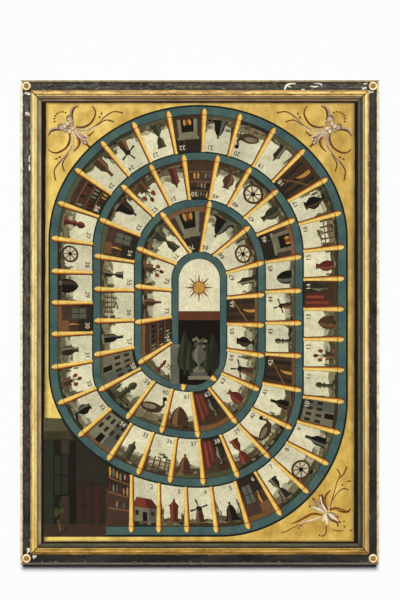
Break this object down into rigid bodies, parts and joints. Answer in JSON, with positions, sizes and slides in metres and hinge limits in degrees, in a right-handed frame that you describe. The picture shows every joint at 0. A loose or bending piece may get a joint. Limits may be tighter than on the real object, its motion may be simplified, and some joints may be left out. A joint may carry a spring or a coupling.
{
  "type": "framed race-game board",
  "caption": "Upright rectangular race-game board: a painted plank panel with a spiral track, in an ebonised and gilt moulded frame with corner bosses and a hanging ring behind.",
  "frame": {"origin": "centre of the frame's footprint, at the back of the frame that lies on the table", "axes": "+Z out of the playing face, +Y towards the board's top edge, +X to the right as it is read"},
  "size_m": [0.6, 0.81, 0.033],
  "materials": {
    "ebonised_wood": "worn black stain, satin",
    "gilt_wood": "water gilding, rubbed",
    "gilt_moulding": "water gilding with a grey-green painted cove",
    "painted_ground": "gold ground with oil paint and aged varnish",
    "panel_wood": "bare aged poplar",
    "peg_wood": "bare hardwood",
    "aged_brass": "dark patina",
    "forged_iron": "dark, slightly rusted"
  },
  "bodies": {
    "board": {"rail_top": "ebonised_wood", "rail_bottom": "ebonised_wood", "stile_left": "ebonised_wood", "stile_right": "ebonised_wood", "outer_bead_top": "gilt_wood", "outer_bead_bottom": "gilt_wood", "outer_bead_left": "gilt_wood", "outer_bead_right": "gilt_wood", "sight_moulding_top": "gilt_moulding", "sight_moulding_bottom": "gilt_moulding", "sight_moulding_left": "gilt_moulding", "sight_moulding_right": "gilt_moulding", "corner_boss_top_left": "gilt_wood", "corner_boss_top_right": "gilt_wood", "corner_boss_bottom_left": "gilt_wood", "corner_boss_bottom_right": "gilt_wood", "boss_pin_top_left": "aged_brass", "boss_pin_top_right": "aged_brass", "boss_pin_bottom_left": "aged_brass", "boss_pin_bottom_right": "aged_brass", "corner_peg_top_left": "peg_wood", "corner_peg_top_right": "peg_wood", "corner_peg_bottom_left": "peg_wood", "corner_peg_bottom_right": "peg_wood", "playing_face": "painted_ground", "panel_plank_left": "panel_wood", "panel_plank_middle": "panel_wood", "panel_plank_right": "panel_wood", "cross_batten_upper": "panel_wood", "cross_batten_lower": "panel_wood", "panel_nail_top_1": "forged_iron", "panel_nail_top_2": "forged_iron", "panel_nail_bottom_1": "forged_iron", "panel_nail_bottom_2": "forged_iron", "panel_nail_left_1": "forged_iron", "panel_nail_left_2": "forged_iron", "panel_nail_left_3": "forged_iron", "panel_nail_right_1": "forged_iron", "panel_nail_right_2": "forged_iron", "panel_nail_right_3": "forged_iron", "hanging_staple": "forged_iron"},
    "ring": {"hanging_ring": "forged_iron"}
  },
  "joints": [
    {"name": "ring_swing", "type": "hinge", "parent": "board", "child": "ring", "pos_m": [0, 0.23, 0.0055], "axis": [1, 0, 0], "range_deg": [-165, 10]}
  ]
}
